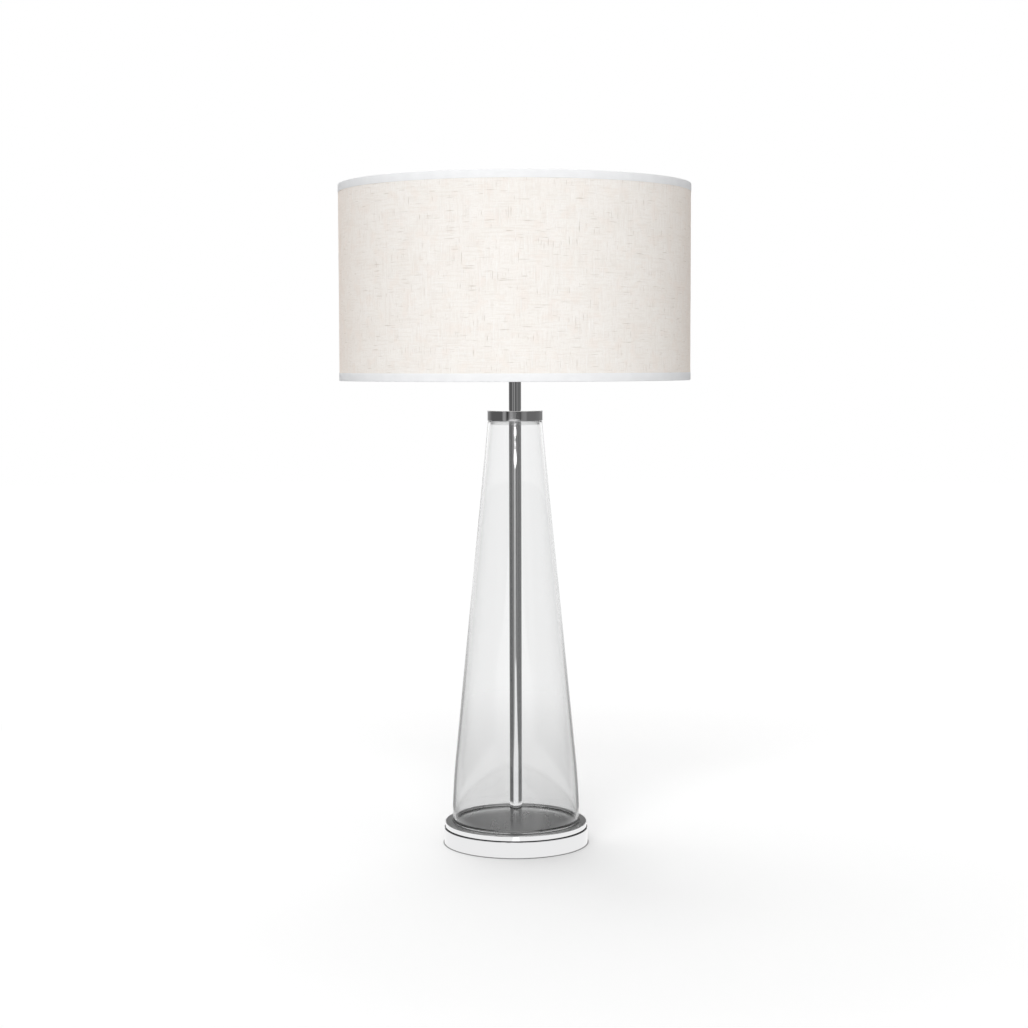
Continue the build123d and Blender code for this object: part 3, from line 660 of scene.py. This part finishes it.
def add_bulb_shell(material):
    """The bulb's housing, with a soft neck."""
    base, low, high = reach_of("bulb_housing")
    neck = 14.6 * MM
    waist = (neck + 0.1 * (base - neck), low + 0.28 * (high - low), 9.0 * MM)
    profile = [
        (0.0, low), (neck - 1.0 * MM, low), (neck, low + 1.0 * MM, 0.6 * MM), waist,
        (base, high - 0.6 * MM, 0.3 * MM), (base - 0.5 * MM, high), (0.0, high),
    ]
    turned("bulb_shell", "bulb_housing", "bulb", material,
           rounded(profile, 8), segments=128, sharp=35.0)


def add_bulb_dome(material):
    """The bulb's opal globe, open where it seats on the housing."""
    ball, low, high = reach_of("bulb_globe")
    centre = high - ball
    drop = low - centre
    wall = 1.2 * MM
    dips = 0.9998                  # takes the outer skin a hair below the seat
    steps = 40
    skin = []
    for radius, share, order in ((ball, dips, 1), (ball - wall, 1.0, -1)):
        first = atan2(drop, share * (radius ** 2 - drop ** 2) ** 0.5)
        arc = []
        for k in range(steps):
            angle = first + (pi / 2 - first) * k / steps
            arc.append((radius * cos(angle), centre + radius * sin(angle)))
        arc.append((0.0, centre + radius))
        skin += arc[::order]
    turned("bulb_dome", "bulb_globe", "bulb", material, skin,
           segments=128, sharp=40.0)


def add_skirt(material):
    """The lampholder's skirt, with the thread that the shade's ring screws on."""
    flange, bottom, top = reach_of("holder_skirt")
    wall, bore, ledge = 20.0 * MM, 16.6 * MM, 12.0 * MM
    seat = bottom + 3.0 * MM
    edge = 0.5 * MM
    outside = upright(wall, seat + 0.4 * MM, top - 0.8 * MM, THREAD_STEP)
    profile = [
        (ledge, bottom), (flange - edge, bottom), (flange, bottom + edge),
        (flange, seat - edge), (flange - edge, seat), (wall, seat),
    ] + outside + [
        (wall - 0.6 * MM, top), (bore + 0.4 * MM, top), (bore, top - 0.4 * MM),
        (bore, seat), (ledge, seat),
    ]
    turned("skirt_screw", "holder_skirt", "stand", material, profile,
           segments=128, sharp=50.0, radius_at=thread(wall, 2.5 * MM, 0.8 * MM, outside))


# ---------------------------------------------------------------- materials

LINEN_RADIUS, TAPE_RADIUS = 0.2246, 0.225
RIB_WIDTH = 0.6 * MM


def chrome():
    material, g = new_material("chrome")
    place = g.place()
    haze = g.noise(place, 35.0, 3.0)
    smear = g.noise(place, 420.0)
    finish_material(
        g, Base_Color=(0.82, 0.82, 0.825, 1), Metallic=1.0,
        Roughness=g.band(haze, 0.35, 0.75, 0.015, 0.03), Normal=g.bump(smear, 0.00002, 0.1),
    )
    return material


def disc_metal():
    """Polished at its edge like the tube; on top, darker, with fine rings and soft streaks along
    Y, partly smears and partly painted reflection streaks.
    """
    material, g = new_material("disc_metal")
    x, y, z = g.split(g.place())
    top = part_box("base_disc")[1][2]
    flat = g.band(z, top - 0.5 * MM, top - 0.2 * MM)
    radius = g.math("SQRT", g.squares(x, y))
    rings = g.noise(g.join(radius, 0.0, 0.0), 2600.0, 3.0)
    # Partly painted reflection: lighter and darker streaks along Y in the top's colour stand for
    # reflected streaks as well as smears.
    smear = g.noise(g.join(g.times(x, 4.0), g.times(y, 0.6), 0.0), 14.0)
    top_smears_and_painted_streaks = g.mix(g.band(smear, 0.3, 0.7), grey(0.71), grey(0.80))
    tone = g.mix(flat, (0.84, 0.84, 0.845, 1), top_smears_and_painted_streaks)
    rough = g.plus(0.04, g.times(flat, g.band(smear, 0.3, 0.7, 0.22, 0.29)))
    finish_material(
        g, Base_Color=tone, Metallic=1.0, Roughness=rough,
        Normal=g.bump(g.times(rings, flat), 0.00001, 0.2),
    )
    return material


def clear_glass():
    material, g = new_material("clear_glass")
    ripple = g.noise(g.place(), 14.0, 1.0)
    finish_material(
        g, Base_Color=(0.982, 0.984, 0.984, 1), Roughness=0.0, IOR=1.46,
        Transmission_Weight=1.0, Specular_IOR_Level=0.3, Normal=g.bump(ripple, 0.0004, 0.2),
    )
    return material


def linen():
    """Laminated linen: crossing fine threads, uneven along their length, with soft slubs."""
    material, g = new_material("linen")
    across, up = g.round_the_axis(LINEN_RADIUS)

    def threads(length, width, shift, detail=1.0):
        """A noise drawn out along the thread: length across and width up, in metres."""
        spot = g.join(g.times(across, 1.0 / length), g.times(up, 1.0 / width), shift)
        return g.noise(spot, 1.0, detail)

    def slubs(weft, weft_range, warp, warp_range):
        """1 on the few threads of either direction that stand out."""
        return g.math(
            "MAXIMUM", g.band(threads(*weft), *weft_range), g.band(threads(*warp), *warp_range),
        )

    weft = threads(0.030, 0.0024, 3.0, 2.0)
    warp = threads(0.0024, 0.028, 9.0, 2.0)
    lay = g.noise(g.join(across, up, 11.0), 38.0, 1.0)      # where the warp or the weft stands out
    weave = g.mix(g.band(lay, 0.38, 0.62), g.join(weft, weft, weft), g.join(warp, warp, warp))
    grain = g.split(weave)[0]
    fine = g.times(g.plus(threads(0.006, 0.0006, 51.0), threads(0.0006, 0.006, 57.0)), 0.5)
    brown = slubs((0.022, 0.0016, 17.0), (0.66, 0.76), (0.0016, 0.018, 23.0), (0.67, 0.77))
    pale = slubs((0.034, 0.0020, 31.0), (0.64, 0.74), (0.0020, 0.034, 41.0), (0.62, 0.72))
    cloud = g.noise(g.join(across, up, 0.0), 26.0, 3.0)
    warmth = g.noise(g.join(across, up, 5.0), 55.0)
    base = (0.925, 0.90, 0.865, 1)
    for share, colour in (
        (g.band(cloud, 0.35, 0.68), (0.905, 0.875, 0.835, 1)),
        (g.band(warmth, 0.48, 0.70, 0.0, 0.8), (0.905, 0.85, 0.80, 1)),
        (g.band(grain, 0.36, 0.56, 0.33, 0.0), (0.79, 0.735, 0.68, 1)),
        (g.band(fine, 0.40, 0.60, 0.30, 0.0), (0.78, 0.73, 0.68, 1)),
        (g.times(pale, 0.4), (0.965, 0.955, 0.935, 1)),
        (g.times(brown, 0.55), (0.56, 0.50, 0.44, 1)),
    ):
        base = g.mix(share, base, colour)
    relief = g.plus(grain, g.times(g.plus(brown, pale), 0.7))
    finish_material(
        g, Base_Color=base, Roughness=0.9, Sheen_Weight=0.32, Sheen_Roughness=0.6,
        Sheen_Tint=(1.0, 0.80, 0.66, 1), Specular_IOR_Level=0.15,
        Normal=g.bump(relief, 0.0003, 0.8),
    )
    return material


def tape():
    """Satin ribbon with fine upright ribs."""
    material, g = new_material("tape")
    across, up = g.round_the_axis(TAPE_RADIUS)
    ribs = g.math("SINE", g.times(across, 2 * pi / RIB_WIDTH))
    cloud = g.band(g.noise(g.join(across, up, 0.0), 60.0), 0.3, 0.7)
    finish_material(
        g, Base_Color=g.mix(cloud, (0.915, 0.92, 0.93, 1), (0.885, 0.89, 0.90, 1)),
        Roughness=0.5, Specular_IOR_Level=0.3, Normal=g.bump(ribs, 0.0001, 0.4),
    )
    return material


def moulded(name, colour, rough=0.45, clouding=0.07):
    """A moulded or painted surface: faintly grained, and a little uneven in colour and gloss."""
    material, g = new_material(name)
    texture = g.noise(g.place(), 900.0)
    cloud = g.noise(g.place(), 40.0)
    darker = tuple(c * (1 - clouding) for c in colour[:3]) + (1,)
    finish_material(
        g, Base_Color=g.mix(g.band(cloud, 0.3, 0.7), colour, darker),
        Roughness=g.band(cloud, 0.3, 0.7, rough, rough + 0.08),
        Normal=g.bump(texture, 0.00003, 0.4),
    )
    return material


def metal(name, colour, rough):
    """Plain metal with a fine grain."""
    material, g = new_material(name)
    grain = g.noise(g.place(), 600.0)
    finish_material(
        g, Base_Color=colour, Metallic=1.0,
        Roughness=g.band(grain, 0.3, 0.7, rough, rough + 0.12), Normal=g.bump(grain, 0.00003, 0.4),
    )
    return material


def felt():
    material, g = new_material("felt")
    fibres = g.noise(g.place(), 1500.0, 4.0, 0.7)
    finish_material(
        g, Base_Color=g.mix(g.band(fibres, 0.3, 0.7), grey(0.02), grey(0.07)), Roughness=0.95,
        Sheen_Weight=0.5, Normal=g.bump(fibres, 0.0003, 0.8),
    )
    return material


def gasket():
    """Clear silicone, slightly hazy."""
    material, g = new_material("clear_gasket")
    haze = g.noise(g.place(), 300.0)
    finish_material(
        g, Base_Color=(0.965, 0.968, 0.968, 1), Roughness=g.band(haze, 0.3, 0.7, 0.10, 0.18),
        IOR=1.41, Transmission_Weight=0.9,
    )
    return material


# ---------------------------------------------------------------- the lamp

def add_stand():
    chromed = chrome()
    dress(chromed, "base_plinth", "centre_tube", "stem")
    add_cap(chromed)
    dress(disc_metal(), "base_disc")
    add_glass(clear_glass())
    dress(metal("cast_iron", (0.14, 0.14, 0.14, 1), 0.6), "base_weight")
    dress(moulded("black_rubber", (0.02, 0.02, 0.02, 1), 0.6), "cord_inlet", "groove_spacer")
    dress(felt(), "felt_pad")
    dress(gasket(), "foot_gasket", "top_gasket")


def add_shade():
    add_linen(linen())
    ribbon = tape()
    add_tape("upper_tape", "trim_top", "wire_ring_top", ribbon, True)
    add_tape("lower_tape", "trim_bottom", "wire_ring_bottom", ribbon, False)
    dress(moulded("liner", (0.90, 0.895, 0.88, 1), 0.35, 0.02), "shade_liner")
    dress(moulded("white_wire", (0.82, 0.82, 0.82, 1), 0.3), "shade_spider")


def add_lampholder():
    plastic = moulded("holder_plastic", (0.80, 0.80, 0.78, 1))
    dress(plastic, "holder_cap", "holder_insert", "retaining_ring", "push_bar")
    add_skirt(plastic)
    dress(metal("brass", (0.75, 0.58, 0.30, 1), 0.2), "thread_shell", "centre_contact")


def add_bulb():
    bright = metal("bulb_metal", (0.72, 0.72, 0.72, 1), 0.22)
    add_bulb_screw(bright)
    dress(bright, "bulb_contact")
    add_bulb_shell(moulded("bulb_white", (0.84, 0.84, 0.83, 1), 0.3))
    add_bulb_dome(moulded("bulb_opal", (0.90, 0.90, 0.89, 1), 0.4))
    dress(moulded("bulb_black", (0.02, 0.02, 0.025, 1), 0.15), "bulb_insulator")


def add_steel():
    """The shade's wire rings, and what is zinc plated in the stand."""
    zinc = metal("zinc_steel", (0.55, 0.55, 0.56, 1), 0.28)
    dress(zinc, "threaded_rod", "base_nut", "base_washer", "grub_screw", "terminal_screws")
    add_wire_ring("lower_wire", "wire_ring_bottom", zinc)
    add_wire_ring("upper_wire", "wire_ring_top", zinc)


add_camera()
add_world()
add_floor()
add_lights()
add_stand()
add_shade()
add_lampholder()
add_bulb()
add_steel()

bpy.context.scene.view_settings.view_transform = "Standard"
